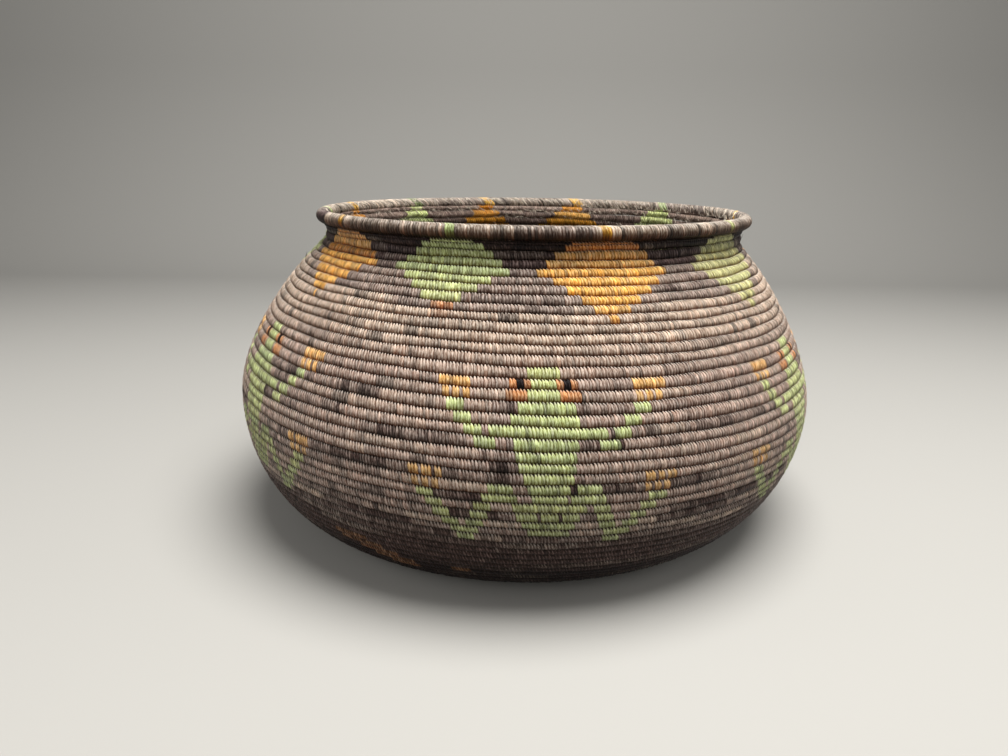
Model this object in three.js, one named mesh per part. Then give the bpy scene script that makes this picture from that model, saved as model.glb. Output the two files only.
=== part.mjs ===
// Coiled basket: a wide, round bellied basket that is sewn from one long coil of plant fibre.
// The coil starts at a knot under the middle of the base, lies flat as it winds outwards, turns
// up at the heel, climbs the belly and the shoulder round by round, and ends under a thicker
// rolled rim. Lengths are in millimetres, +Z is up, and the origin is on the surface that the
// basket stands on, under the middle of its belly.
import * as THREE from 'three';

// The side view of the outer surface, from the base to the lip.
const BASE_RADIUS = 139;
const BELLY_RADIUS = 215.5;
const BELLY_HEIGHT = 96;
const BELLY_UPRIGHT_LENGTH = 33;
const SHOULDER_HEIGHT = 198;
const SHOULDER_SLOPE_ANGLE = THREE.MathUtils.degToRad(46);
const SHOULDER_RUN_LENGTH = 30;
const SHOULDER_STEP_WIDTH = 10;
const NECK_RADIUS = 153;
const NECK_RISE_HEIGHT = 12;
const LIP_RISE_HEIGHT = 7.7;
const LIP_STEP_WIDTH = 2.7;
const LIP_FLARE_ANGLE = THREE.MathUtils.degToRad(40);

const shoulderRadius = NECK_RADIUS + SHOULDER_STEP_WIDTH;
const neckHeight = SHOULDER_HEIGHT + NECK_RISE_HEIGHT;
const lipRadius = NECK_RADIUS + LIP_STEP_WIDTH;
const lipHeight = neckHeight + LIP_RISE_HEIGHT;

// The coil, and the rolled rim that finishes it.
const COIL_THICKNESS = 6.2;
const COIL_GAP = 0.5;
const COIL_SWELL_SHARE = 0.13;
const SWELL_ROUND_COUNT = 34;
const KNOT_RADIUS = 4;
const BASE_ROUND_COUNT = 22;
const WALL_ROUND_COUNT = 48;
const DARK_ROUND_COUNT = 8;
const TAIL_HEIGHT = 1;
const END_GAP = 0.4;
const RIM_THICKNESS = 8.4;
const RIM_GAP = 0.35;

// What the hand of the maker left uneven: the mouth sits to one side of the base, and the
// rounds of the belly slope a little from one side to the other.
const MOUTH_SHIFT = 8;
const BELLY_LEAN_ANGLE = THREE.MathUtils.degToRad(1.4);

// The base coil is pressed flat where the basket stands on it.
const FLAT_DEPTH = 0.5;

const STEPS_PER_ROUND = 20;
const RIM_SIDES = 8;
const RIM_STEPS = 40;
const CURVE_SAMPLES = 400;
const SEAM_ANGLE = THREE.MathUtils.degToRad(90);
const TOTAL_ROUND_COUNT = BASE_ROUND_COUNT + WALL_ROUND_COUNT;

const COLOURS = {
  knot: 0x6f605a,
  base: 0x74645e,
  belly: 0x84736c,
  shoulder: 0x57494b,
  rim: 0x7d7069,
};

// Side view of the outer surface: a flat base, a quarter ellipse up to the belly, a shoulder
// that turns in and runs straight, a hollow neck and a flared lip.
function sideView() {
  const path = new THREE.Path();
  const runUp = SHOULDER_RUN_LENGTH * Math.sin(SHOULDER_SLOPE_ANGLE);
  const runIn = SHOULDER_RUN_LENGTH * Math.cos(SHOULDER_SLOPE_ANGLE);
  const neckBend = SHOULDER_HEIGHT + SHOULDER_STEP_WIDTH * Math.tan(SHOULDER_SLOPE_ANGLE);
  const lipBend = lipHeight - LIP_STEP_WIDTH / Math.tan(LIP_FLARE_ANGLE);
  path.moveTo(0, -FLAT_DEPTH);
  path.lineTo(BASE_RADIUS, -FLAT_DEPTH);
  path.absellipse(
    BASE_RADIUS, BELLY_HEIGHT,
    BELLY_RADIUS - BASE_RADIUS, BELLY_HEIGHT + FLAT_DEPTH,
    -Math.PI / 2, 0, false, 0,
  );
  path.bezierCurveTo(
    BELLY_RADIUS, BELLY_HEIGHT + BELLY_UPRIGHT_LENGTH,
    shoulderRadius + runIn, SHOULDER_HEIGHT - runUp,
    shoulderRadius, SHOULDER_HEIGHT,
  );
  path.quadraticCurveTo(NECK_RADIUS, neckBend, NECK_RADIUS, neckHeight);
  path.quadraticCurveTo(NECK_RADIUS, lipBend, lipRadius, lipHeight);
  path.curves.forEach((curve) => {
    curve.arcLengthDivisions = CURVE_SAMPLES;
  });
  return path;
}

const side = sideView();
const sideLength = side.getLength();

// How far the middle of a round is moved sideways, and how much it slopes, at a height.
function centreShift(height) {
  const belly = THREE.MathUtils.smoothstep(BELLY_HEIGHT, 0, lipHeight);
  return MOUTH_SHIFT * (THREE.MathUtils.smoothstep(height, 0, lipHeight) - belly);
}

function slopeAt(height) {
  const t = THREE.MathUtils.clamp(height / lipHeight, 0, 1);
  return Math.tan(BELLY_LEAN_ANGLE) * 4 * t * (1 - t);
}

// A point of the wall: how far it is along the side view, how deep it lies under the outer
// surface, and where it is round the basket.
function wallPoint(along, depth, azimuth) {
  const share = THREE.MathUtils.clamp(along / sideLength, 0, 1);
  const onCurve = side.getPoint(share);
  const tangent = side.getTangent(share);
  const radius = onCurve.x - depth * tangent.y;
  const height = onCurve.y + depth * tangent.x;
  const across = radius * Math.cos(azimuth);
  return new THREE.Vector3(
    across + centreShift(height),
    radius * Math.sin(azimuth),
    Math.max(0, height - slopeAt(height) * across),
  );
}

// The lower edge of the coil after a number of turns, measured along the side view. The coil
// is finer at the neck and the foot than at the belly.
const startEdge = KNOT_RADIUS + COIL_GAP;
const swellLength = COIL_SWELL_SHARE * SWELL_ROUND_COUNT / (2 * Math.PI);

function swollenTurns(turnsBelowLip) {
  return turnsBelowLip - swellLength * Math.sin(2 * Math.PI * turnsBelowLip / SWELL_ROUND_COUNT);
}

const meanPitch = (sideLength - startEdge) / swollenTurns(TOTAL_ROUND_COUNT);

function coilEdge(turns) {
  return sideLength - meanPitch * swollenTurns(TOTAL_ROUND_COUNT - turns);
}

// A cut through the coil has flat sides towards its neighbours and a ridge outside and inside.
// Each corner is [share of the height, share of the thickness].
const COIL_CORNERS = [[0.5, 0], [1, 0.25], [1, 0.75], [0.5, 1], [0, 0.75], [0, 0.25]];

// On the base the outer ridge is cut flat.
const flatShare = FLAT_DEPTH / COIL_THICKNESS;
const FLAT_CORNERS = [
  [0.5 - 2 * flatShare, flatShare],
  [0.5 + 2 * flatShare, flatShare],
  ...COIL_CORNERS.slice(1),
];

function coilSection(turns, corners) {
  const lower = coilEdge(turns);
  const upper = coilEdge(Math.min(turns + 1, TOTAL_ROUND_COUNT)) - COIL_GAP;
  const azimuth = SEAM_ANGLE + 2 * Math.PI * turns;
  return corners.map(([up, deep]) => (
    wallPoint(lower + (upper - lower) * up, deep * COIL_THICKNESS, azimuth)
  ));
}

// One closed tube through a list of sections, with a flat face at each end.
function tubeThrough(sections) {
  const sides = sections[0].length;
  const positions = sections.flat().flatMap((point) => point.toArray());
  const index = [];
  for (let i = 0; i < sections.length - 1; i += 1) {
    for (let j = 0; j < sides; j += 1) {
      const a = i * sides + j;
      const b = i * sides + (j + 1) % sides;
      index.push(a, b + sides, b);
      index.push(a, a + sides, b + sides);
    }
  }
  const last = (sections.length - 1) * sides;
  for (let j = 1; j < sides - 1; j += 1) {
    index.push(0, j, j + 1);
    index.push(last, last + j + 1, last + j);
  }
  const geometry = new THREE.BufferGeometry();
  geometry.setAttribute('position', new THREE.Float32BufferAttribute(positions, 3));
  geometry.setIndex(index);
  geometry.computeVertexNormals();
  return geometry;
}

// The sections of the coil from one number of turns to another.
function coilSections(from, to, corners) {
  const steps = Math.ceil((to - from) * STEPS_PER_ROUND);
  const sections = [];
  for (let i = 0; i < steps; i += 1) {
    sections.push(coilSection(from + i / STEPS_PER_ROUND, corners));
  }
  sections.push(coilSection(to, corners));
  return sections;
}

// The number of turns at which a stretch stops, to leave a gap in front of the next one.
function stopBefore(turns) {
  const radius = side.getPoint(coilEdge(turns) / sideLength).x;
  return turns - END_GAP / (2 * Math.PI * (radius - COIL_THICKNESS));
}

function fibre(colour) {
  return new THREE.MeshStandardMaterial({ color: colour, roughness: 0.85, metalness: 0 });
}

function piece(name, geometry, colour) {
  const mesh = new THREE.Mesh(geometry, fibre(colour));
  mesh.name = name;
  return mesh;
}

// The knot that the coil starts round. Its edge grows with the first turn and steps back where
// the coil begins.
function startKnot() {
  const outline = new THREE.Shape();
  const edge = (turns) => coilEdge(turns) - COIL_GAP;
  outline.moveTo(edge(0), 0);
  for (let i = 1; i < STEPS_PER_ROUND; i += 1) {
    const angle = 2 * Math.PI * i / STEPS_PER_ROUND;
    const radius = edge(i / STEPS_PER_ROUND);
    outline.lineTo(radius * Math.cos(angle), radius * Math.sin(angle));
  }
  outline.lineTo(edge(1), -END_GAP);
  outline.lineTo(edge(0), -END_GAP);
  outline.closePath();
  const depth = COIL_THICKNESS - FLAT_DEPTH;
  const geometry = new THREE.ExtrudeGeometry(outline, { depth, bevelEnabled: false });
  const knot = piece('start_knot', geometry, COLOURS.knot);
  knot.rotation.z = SEAM_ANGLE;
  knot.position.x = centreShift(0);
  return knot;
}

function baseCoil() {
  const sections = coilSections(0, stopBefore(BASE_ROUND_COUNT), FLAT_CORNERS);
  return piece('base_coil', tubeThrough(sections), COLOURS.base);
}

// Where the coil runs out under the rim: the turn at which only the tip of its tail is left.
function tailEnd() {
  let turns = TOTAL_ROUND_COUNT;
  while (sideLength - COIL_GAP - coilEdge(turns) < TAIL_HEIGHT) {
    turns -= 1 / STEPS_PER_ROUND;
  }
  return turns;
}

// One trip of the coil round the wall.
function wallRound(number) {
  const from = BASE_ROUND_COUNT + number - 1;
  const to = number === WALL_ROUND_COUNT ? tailEnd() : stopBefore(from + 1);
  const name = `wall_round_${String(number).padStart(2, '0')}`;
  const onShoulder = WALL_ROUND_COUNT - number < DARK_ROUND_COUNT;
  const colour = onShoulder ? COLOURS.shoulder : COLOURS.belly;
  return piece(name, tubeThrough(coilSections(from, to, COIL_CORNERS)), colour);
}

// The rolled rim, seated on the last round in the direction in which the lip flares.
function rimRoll() {
  const rise = RIM_GAP + RIM_THICKNESS / 2;
  const tangent = side.getTangent(1);
  const radius = lipRadius - tangent.y * COIL_THICKNESS / 2 + tangent.x * rise;
  const height = lipHeight + tangent.x * COIL_THICKNESS / 2 + tangent.y * rise;
  const geometry = new THREE.TorusGeometry(radius, RIM_THICKNESS / 2, RIM_SIDES, RIM_STEPS);
  const rim = piece('rim_roll', geometry, COLOURS.rim);
  rim.position.set(centreShift(lipHeight), 0, height);
  return rim;
}

// The least gap between each turn of the base coil and the next, measured on their corners.
function leastGap() {
  let least = Infinity;
  for (let i = 0; i < (BASE_ROUND_COUNT - 1) * STEPS_PER_ROUND; i += 1) {
    const turns = i / STEPS_PER_ROUND;
    const inner = coilSection(turns, FLAT_CORNERS);
    const outer = coilSection(turns + 1, FLAT_CORNERS);
    inner.forEach((a) => outer.forEach((b) => {
      least = Math.min(least, a.distanceTo(b));
    }));
  }
  return least;
}

const group = new THREE.Group();
group.name = 'coiled_basket';
group.add(startKnot(), baseCoil());
for (let number = 1; number <= WALL_ROUND_COUNT; number += 1) {
  group.add(wallRound(number));
}
group.add(rimRoll());

console.log(`least gap between turns of the base coil: ${leastGap().toFixed(2)} mm`);

export default group;
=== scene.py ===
# Coiled basket. One bundle of grass winds from a knot under the base to the lip, and dyed palm
# strips are sewn round it, stitch by stitch. The rounds of the wall carry a band of diamonds and
# a ring of frogs. The script is laid out as an add-on: each operator makes one group of pieces.
import math

import bpy
import numpy as np
from bpy.props import FloatProperty, FloatVectorProperty, IntProperty, PointerProperty
from mathutils import Matrix, Vector


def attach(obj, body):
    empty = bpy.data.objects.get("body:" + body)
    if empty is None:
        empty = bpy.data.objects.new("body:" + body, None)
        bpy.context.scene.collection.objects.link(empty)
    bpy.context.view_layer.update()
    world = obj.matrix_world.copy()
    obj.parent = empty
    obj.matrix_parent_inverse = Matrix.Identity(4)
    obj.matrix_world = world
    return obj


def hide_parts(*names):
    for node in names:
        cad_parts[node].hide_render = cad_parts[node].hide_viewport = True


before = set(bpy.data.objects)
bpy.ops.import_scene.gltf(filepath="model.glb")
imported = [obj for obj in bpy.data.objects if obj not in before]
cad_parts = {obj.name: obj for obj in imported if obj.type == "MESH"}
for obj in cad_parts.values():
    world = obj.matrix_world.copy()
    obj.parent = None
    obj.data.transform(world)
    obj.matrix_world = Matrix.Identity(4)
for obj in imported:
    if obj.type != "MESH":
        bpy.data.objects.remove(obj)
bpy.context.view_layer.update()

bl_info = {
    "name": "Coiled Basket",
    "version": (1, 0, 0),
    "blender": (4, 5, 0),
    "location": "View3D > Sidebar > Basket",
    "description": "Builds a coiled basket with sewn frogs and diamonds",
    "category": "Add Mesh",
}

BODY = "root"
MM = 0.001
BAKE_MAP = "OFBake"
STRAND_MAP = "strand"
# What would reach through the floor is pressed into a layer of this thickness.
FLAT_LAYER = 0.4 * MM


def from_hex(code):
    """A colour as the shader needs it, from its code as a picture shows it."""
    parts = [int(code[i:i + 2], 16) / 255 for i in (0, 2, 4)]
    return tuple(p / 12.92 if p <= 0.04045 else ((p + 0.055) / 1.055) ** 2.4 for p in parts)


def length(name, description, millimetres, low=0.0):
    """A setting that is a length, given in millimetres."""
    return FloatProperty(
        name=name, description=description, default=millimetres * MM, min=low,
        subtype="DISTANCE", unit="LENGTH", precision=5,
    )


def share(name, description, value, low=0.0, high=1.0):
    """A setting that is a plain number."""
    return FloatProperty(name=name, description=description, default=value, min=low, max=high)


def angle(name, description, degrees):
    """A setting that is an angle, given in degrees."""
    return FloatProperty(
        name=name, description=description, default=math.radians(degrees),
        subtype="ANGLE", unit="ROTATION",
    )


def colour(name, description, code):
    """A setting that is a colour, given by its code."""
    return FloatVectorProperty(
        name=name, description=description, default=from_hex(code), size=3,
        min=0.0, max=1.0, subtype="COLOR",
    )


# Settings

class BasketShape(bpy.types.PropertyGroup):
    """Side view of the outer surface."""
    base_radius: length("Base radius", "Where the flat base ends", 139)
    belly_radius: length("Belly radius", "Widest radius", 215.5)
    belly_height: length("Belly height", "Height of the widest round", 96)
    belly_upright: length("Belly upright", "How far the belly goes on upright", 33)
    shoulder_height: length("Shoulder height", "Where the shoulder meets the neck", 198)
    shoulder_slope: angle("Shoulder slope", "Slope of the shoulder where it meets the neck", 46)
    shoulder_run: length("Shoulder run", "Length of the straight part of the shoulder", 30)
    shoulder_step: length("Shoulder step", "From the neck out to the top of the shoulder", 10)
    neck_radius: length("Neck radius", "Narrowest radius of the neck", 153)
    neck_rise: length("Neck rise", "From the shoulder up to the neck", 12)
    lip_rise: length("Lip rise", "From the neck up to the lip", 7.7)
    lip_step: length("Lip step", "From the neck out to the lip", 2.7)
    lip_flare: angle("Lip flare", "How far the lip leans out", 40)
    mouth_shift: length("Mouth shift", "How far the mouth sits to one side of the base", 8)
    belly_lean: angle("Belly lean", "Slope of the belly's rounds from side to side", 1.4)
    flat_depth: length("Flat depth", "How far the base coil is pressed flat underneath", 0.5)


class BasketCoil(bpy.types.PropertyGroup):
    """The coil, and the rolled rim that finishes it."""
    thickness: length("Thickness", "Thickness of the wall", 6.2)
    gap: length("Gap", "Clearance between rounds", 0.5)
    swell: share("Swell", "How much the belly's rounds are higher than the others", 0.13)
    swell_rounds: IntProperty(
        name="Swell rounds", description="Rounds from one narrow stretch to the next", default=34)
    neck_rounds: IntProperty(
        name="Neck rounds", description="Rounds that are packed up under the lip", default=7)
    neck_lift: length("Neck lift", "How far they are packed up", 2.4)
    wobble: length("Wobble", "How far the rounds stray from an even course", 0.22)
    knot_radius: length("Knot radius", "Radius of the knot at the start", 4)
    base_rounds: IntProperty(name="Base rounds", description="Rounds of the base", default=22)
    wall_rounds: IntProperty(
        name="Wall rounds", description="Rounds of the wall",
        default=sum(name.startswith("wall_round_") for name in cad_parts))
    rim_thickness: length("Rim thickness", "Thickness of the rolled rim", 8.4)
    rim_gap: length("Rim gap", "Clearance under the rolled rim", 0.35)


class BasketStitches(bpy.types.PropertyGroup):
    """The strips that are sewn round the coil."""
    wall_width: length("Wall width", "Width of a stitch on the wall", 1.97)
    base_width: length("Base width", "Width of a stitch on the base", 2.05)
    rim_width: length("Rim width", "Width of a wrap on the rim", 1.9)
    rim_cover: share("Rim cover", "How far the wraps stand over the roll", 1.04, high=2.0)
    rim_crown: share("Rim crown", "Rise of a wrap's middle over its edges", 0.022)
    rim_drift: share("Rim drift", "How many wraps a wrap moves back on the inside", 4.6, high=9.0)
    cover: share("Cover", "Width of a strip over the space that it has", 1.08, high=2.0)
    pinch: share("Pinch", "How much narrower a strip is at its tip, over the top of its round", 0.8)
    hook: share("Hook", "How far the tip leans back, by the strip's width", 0.5)
    crown: share("Crown", "Rise of a strip's middle over its edges, by the coil's thickness", 0.022)
    fullness: share("Fullness", "Exponent of the coil's upper outline, 2 is an ellipse", 2.4, high=6.0)
    bite: share("Bite", "How far a stitch reaches into the round below", 0.12)
    overlap: share("Overlap", "How far a stitch stands over its own round", 0.09)
    lean_spread: angle("Lean spread", "How unevenly the stitches lean", 3.5)
    size_spread: share("Size spread", "How unevenly the stitches are pulled", 0.05)
    seed: IntProperty(name="Seed", description="Which chance pattern is used", default=7)


class BasketDyes(bpy.types.PropertyGroup):
    """Colours of the dyed strips and the bundle."""
    # At the neck and at the foot, the black rounds are partly painted shade.
    black: colour("Black", "Pupils, and the rounds at the neck and the foot", "1d1413")
    plum: colour("Plum", "Dark strips of the shoulder", "5c4743")
    slate: colour("Slate", "Greyed strips between the diamonds", "9c8678")
    beige: colour("Beige", "Faded strips below the diamonds", "c8af98")
    taupe: colour("Taupe", "Strips of the belly", "b59988")
    # At the foot, the umber rounds are partly painted shade.
    umber: colour("Umber", "Strips of the foot and the base", "49352f")
    green: colour("Green", "Frogs and diamonds", "c5cf88")
    # Olive also colours the whole diamond right of the front, as painted warm light from that side.
    olive: colour("Olive", "Yellowed strips of the frogs and diamonds", "cfcb88")
    sage: colour("Sage", "Cooler strips of the frogs and diamonds", "a9ba84")
    ochre: colour("Ochre", "Diamonds, hands and feet", "f8ba4c")
    amber: colour("Amber", "Deeper strips of the ochre figures", "c47812")
    rust: colour("Rust", "Worn places of the foot", "6e4521")
    orange: colour("Orange", "Eyes, and a mended place under a diamond", "d08a4a")
    cream: colour("Cream", "Bare fibre, at the loose ends", "ddcfba")
    # The bundle's dark brown is painted shade: it darkens the gaps between the stitches.
    shaded_straw: colour("Straw", "The bundle inside the coil", "4a3b30")


class BasketStage(bpy.types.PropertyGroup):
    """Camera, lamps and backdrop."""
    camera_back: length("Camera distance", "From the axis to the camera", 591.6)
    camera_height: length("Camera height", "Above the floor", 264)
    camera_aside: length("Camera aside", "To the left of the axis", 16.07)
    camera_pitch: angle("Camera pitch", "How far the camera looks down", 16.2)
    camera_yaw: angle("Camera yaw", "How far the camera looks to the right", 0.09)
    camera_roll: angle("Camera roll", "How far the camera is tipped", 0.77)
    lens: share("Lens", "Focal length in millimetres on a 36 mm sensor", 27.04, high=200.0)
    floor: colour("Floor", "Floor and backdrop", "c3c0b9")
    bounce: share("Floor bounce", "How much of the light the floor throws back", 0.1)
    top_power: share("Top lamp", "Power of the lamp over the basket, in watts", 31.0, high=500.0)
    front_power: share("Front lamp", "Power of the lamp behind the camera", 3.6, high=500.0)
    side_power: share("Side lamps", "Power of each of the lamps at the sides", 2.4, high=500.0)
    sky: share("Sky", "Strength of the even light from all round", 0.17, high=5.0)


class BasketSettings(bpy.types.PropertyGroup):
    """Everything that a user can change."""
    shape: PointerProperty(type=BasketShape)
    coil: PointerProperty(type=BasketCoil)
    stitches: PointerProperty(type=BasketStitches)
    dyes: PointerProperty(type=BasketDyes)
    stage: PointerProperty(type=BasketStage)


# Shape of the wall and course of the coil

# Where each round begins, at the back, in degrees. The front is at -90.
SEAM_AZIMUTH = 90
# The coil strays up and down in waves: how many there are of each in a round.
WOBBLE_WAVES = (2.3, 5.7, 11.9, 19.3)
# Below 1, the most lifted of the rounds under the lip is in their upper half.
NECK_SKEW = 0.75


def smooth_step(share_of_way):
    """Climbs smoothly from 0 to 1."""
    way = np.clip(share_of_way, 0, 1)
    return way * way * (3 - 2 * way)


def bezier(points, count=400):
    """Points of a curve with one, two or no control points between its ends."""
    way = np.linspace(0, 1, count)[:, None]
    degree = len(points) - 1
    return sum(
        math.comb(degree, i) * (1 - way) ** (degree - i) * way ** i * np.array(p)
        for i, p in enumerate(points)
    )


class Wall:
    """The outer surface of the basket, and the coil that winds along it."""

    def __init__(self, settings):
        self.shape, self.coil = settings.shape, settings.coil
        self.rounds = self.coil.base_rounds + self.coil.wall_rounds
        self.line = self._side_view()
        steps = np.hypot(*np.diff(self.line, axis=0).T)
        self.along = np.concatenate([[0], np.cumsum(steps)])
        self.length = self.along[-1]
        slopes = np.gradient(self.line, axis=0)
        self.slopes = slopes / np.hypot(*slopes.T)[:, None]
        self.start = self.coil.knot_radius + self.coil.gap
        self.pitch = (self.length - self.start) / self._swollen(self.rounds)

    def _side_view(self):
        """Points from the middle of the base, round the heel and up the wall to the lip."""
        s = self.shape
        shoulder = (s.neck_radius + s.shoulder_step, s.shoulder_height)
        neck = (s.neck_radius, s.shoulder_height + s.neck_rise)
        lip = (s.neck_radius + s.lip_step, neck[1] + s.lip_rise)
        run = (s.shoulder_run * math.cos(s.shoulder_slope), s.shoulder_run * math.sin(s.shoulder_slope))
        turn = np.linspace(-math.pi / 2, 0, 400)
        heel = np.stack([
            s.base_radius + (s.belly_radius - s.base_radius) * np.cos(turn),
            s.belly_height + (s.belly_height + s.flat_depth) * np.sin(turn),
        ], 1)
        parts = [
            bezier([(0, -s.flat_depth), (s.base_radius, -s.flat_depth)]),
            heel,
            bezier([
                (s.belly_radius, s.belly_height),
                (s.belly_radius, s.belly_height + s.belly_upright),
                (shoulder[0] + run[0], shoulder[1] - run[1]),
                shoulder,
            ]),
            bezier([
                shoulder,
                (neck[0], shoulder[1] + s.shoulder_step * math.tan(s.shoulder_slope)),
                neck,
            ]),
            bezier([neck, (neck[0], lip[1] - s.lip_step / math.tan(s.lip_flare)), lip]),
        ]
        self.lip_radius, self.lip_height = lip
        return np.concatenate([parts[0]] + [part[1:] for part in parts[1:]])

    def _swollen(self, turns_below_lip):
        """The height that a number of rounds takes up, in rounds of even height."""
        reach = self.coil.swell * self.coil.swell_rounds / (2 * math.pi)
        return turns_below_lip - reach * np.sin(2 * math.pi * turns_below_lip / self.coil.swell_rounds)

    def edge(self, turns):
        """Lower edge of the coil after a number of turns, measured along the side view."""
        left = self.rounds - np.minimum(turns, self.rounds)
        course = sum(np.sin(2 * math.pi * waves * left + waves) for waves in WOBBLE_WAVES)
        stray = self.coil.wobble * course * np.clip(np.minimum(left, turns), 0, 1)
        packed = np.sin(math.pi * np.clip(left / self.coil.neck_rounds, 0, 1) ** NECK_SKEW)
        lift = self.coil.neck_lift * packed
        return self.length - self.pitch * self._swollen(left) + stray + lift

    def side(self, along):
        """Radius, height and direction of the side view at a place along it."""
        return [np.interp(along, self.along, column)
                for column in (*self.line.T, *self.slopes.T)]

    def shift(self, height):
        """How far the basket sits to one side at a height."""
        top = self.lip_height
        return self.shape.mouth_shift * (
            smooth_step(height / top) - smooth_step(self.shape.belly_height / top))

    def point(self, along, depth, azimuth):
        """A point under the outer surface."""
        radius, height, run, rise = self.side(along)
        radius = radius - depth * rise
        height = height + depth * run
        across = radius * np.cos(azimuth)
        level = np.clip(height / self.lip_height, 0, 1)
        tip = math.tan(self.shape.belly_lean) * 4 * level * (1 - level)
        return np.stack([
            across + self.shift(height),
            radius * np.sin(azimuth),
            height - tip * across,
        ], -1)


def unit(vectors):
    """The same directions, with length 1."""
    return vectors / np.linalg.norm(vectors, axis=-1, keepdims=True)


def azimuth_at(turns):
    """The coil climbs anticlockwise, seen from above, from a seam at the back."""
    return math.radians(SEAM_AZIMUTH) + 2 * math.pi * turns


# Dyes: which colour each stitch has

# Rows count down from the mouth, and row 0 starts at this number of turns. The round over it, the
# last one under the rim, is row -1.
ROW_ZERO = 68
# Each diamond: middle in degrees, half width in degrees, rounds from its tip to its widest round,
# rounds from there to its foot, its dye and its last row. The front is at -90.
DIAMONDS = (
    (-175, 13, 5.2, 5.0, "green", 8),
    (-142.2, 13.5, 6.8, 5.25, "ochre", 8),
    (-109.5, 13.3, 6.6, 4.6, "green", 6),
    (-76.4, 14.7, 7.4, 5.25, "ochre", 8),
    # This diamond is olive as painted warm light from the right.
    (-39, 14.4, 6.4, 5.4, "olive", 8),
    (0, 13, 5.0, 5.35, "ochre", 8),
    (41, 13, 5.0, 5.35, "green", 8),
    (74.7, 13.5, 4.8, 5.35, "ochre", 8),
    (106.6, 10.8, 4.6, 5.35, "ochre", 7),
    (134, 10.5, 4.6, 5.35, "green", 7),
    (164, 10, 4.6, 5.35, "ochre", 7),
)
# The widest round of the diamonds, counted down from the lip, how far below it the upper half goes
# on, and how wide the lower half is beside the upper.
DIAMOND_ROUND = 4.5
DIAMOND_LAP = 0.3
DIAMOND_FOOT_SHARE = 0.94
# A mend under a green diamond, sewn with brown: its middle and half width in degrees, and its row.
MEND = {"azimuth": -108.6, "half": 2.4, "row": 7}
MEND_PLUM = 0.35
# The last dark row changes from place to place: azimuths from which it holds, and rows.
DARK_FROM = (-180, -152, -119, -84, -62, -28)
LAST_DARK_ROWS = (4, 6, 7, 6, 6, 3)
# The frogs: their middles in degrees, how far they reach to each side, the row of the head, how
# much lighter they are than the diamonds, and how faded their hands and feet are.
FROGS = (-148, -88, -31, 29, 91, 153)
FROG_REACH = 25
FROG_HEAD_ROW = 13
FROG_LIGHT = 1.12
HAND_FADE = 0.3
# Places of the foot where the dye is worn off: middle and half width in degrees, and row.
WORN = ((-122, 3.5, 33), (-120, 4.5, 34), (-117, 4, 35), (-114, 4, 36), (-112, 3, 37), (-101, 2, 36))


def between(value, low, high):
    """Marks the values from low up to high, without high itself."""
    return (value >= low) & (value < high)


def around(azimuth, middle):
    """Degrees from a middle, from -180 to 180."""
    return (azimuth - middle + 180) % 360 - 180


def diamond_half_width(below, half, rise, foot):
    """Half width of a diamond, in degrees, at a number of rounds below the lip."""
    upper = half * (1 - (DIAMOND_ROUND - below) / rise)
    lower = half * DIAMOND_FOOT_SHARE * (1 - (below - DIAMOND_ROUND) / foot)
    return np.where(below <= DIAMOND_ROUND + DIAMOND_LAP, upper, lower)


def is_dark(row, azimuth):
    """Marks the plain stitches of the dark band between the diamonds."""
    where = np.searchsorted(DARK_FROM, around(azimuth, 0), side="right") - 1
    return row <= np.array(LAST_DARK_ROWS)[where]


def combed(marked):
    """Leaves out every third stitch of each marked stretch."""
    place = np.arange(len(marked))
    starts = marked & ~np.roll(marked, 1)
    since = place - np.maximum.accumulate(np.where(starts, place, 0))
    return marked & (since % 3 < 2)


def frog_marks(across, row):
    """Names and masks of a frog's colours. Across is in degrees from its middle, and the rows
    count down from the head."""
    side = np.abs(across)
    hand = np.abs(across - 0.5)
    body = np.abs(across - 0.18 * (row - 7))
    trunk = body < np.interp(row, (0, 2, 3, 4, 7, 9, 11), (2.4, 2.4, 4.4, 5.3, 4.5, 3.7, 2.6))
    rump = body < np.interp(row, (12, 15), (5.6, 3.2))
    slits = (row == 13) & between(body, 1.5, 2.0)
    arms = (row == 5) & (side < 9) | (row == 6) & between(side, 7.9, 11)
    forearms = between(row, 3, 6) & (np.abs(side - 11.3 - 1.65 * (5 - row)) < 1.25)
    thighs = between(row, 12, 17) & (np.abs(side - 9 - 0.6 * (row - 12)) < 1.25)
    shanks = between(row, 11, 17) & (np.abs(side - 17.6 + 1.25 * (row - 11)) < 1.35)
    hips = (row == 10) & between(side, 4.8, 8.3) | (row == 11) & between(side, 3.9, 9.2)
    green = between(row, 0, 12) & trunk | between(row, 12, 16) & rump & ~slits
    green |= arms | forearms | thighs | shanks | hips
    eyes = (row == 1) & between(body, 2.2, 5.2) | (row == 2) & between(body, 2.6, 6.0)
    pupils = (row == 1) & between(body, 3.3, 4.3)
    palms = (row == 1) & between(hand, 13, 18.4)
    fingers = combed((row == 2) & between(hand, 13.1, 17.5))
    toes = (row == 9) & between(side, 15.1, 20.4) & ((side - 15.1) % 1.85 < 1.45)
    toe_tips = combed((row == 10) & between(side, 15.3, 19.7))
    return (
        ("green", green),
        ("orange", eyes),
        ("black", pupils),
        ("ochre", palms | fingers | toes | toe_tips),
    )


def row_of(turns):
    """Rows count down from the lip, as a maker's eye reads the pattern."""
    return ROW_ZERO - np.floor(turns)


def row_near(turns, middle):
    """Rows counted without a step at the seam, for a figure whose middle is given in degrees."""
    past_seam = (middle - SEAM_AZIMUTH) / 360 % 1
    return row_of(turns - past_seam + 0.5)


def blend(first, second, amount):
    """Part of the way from one colour to another, for each stitch."""
    amount = np.clip(amount, 0, 1)[:, None]
    return first * (1 - amount) + np.array(second) * amount


def graded(row, stops):
    """Colours by row, between stops."""
    rows = [stop[0] for stop in stops]
    return np.stack([np.interp(row, rows, [stop[1][c] for stop in stops]) for c in range(3)], 1)
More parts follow.
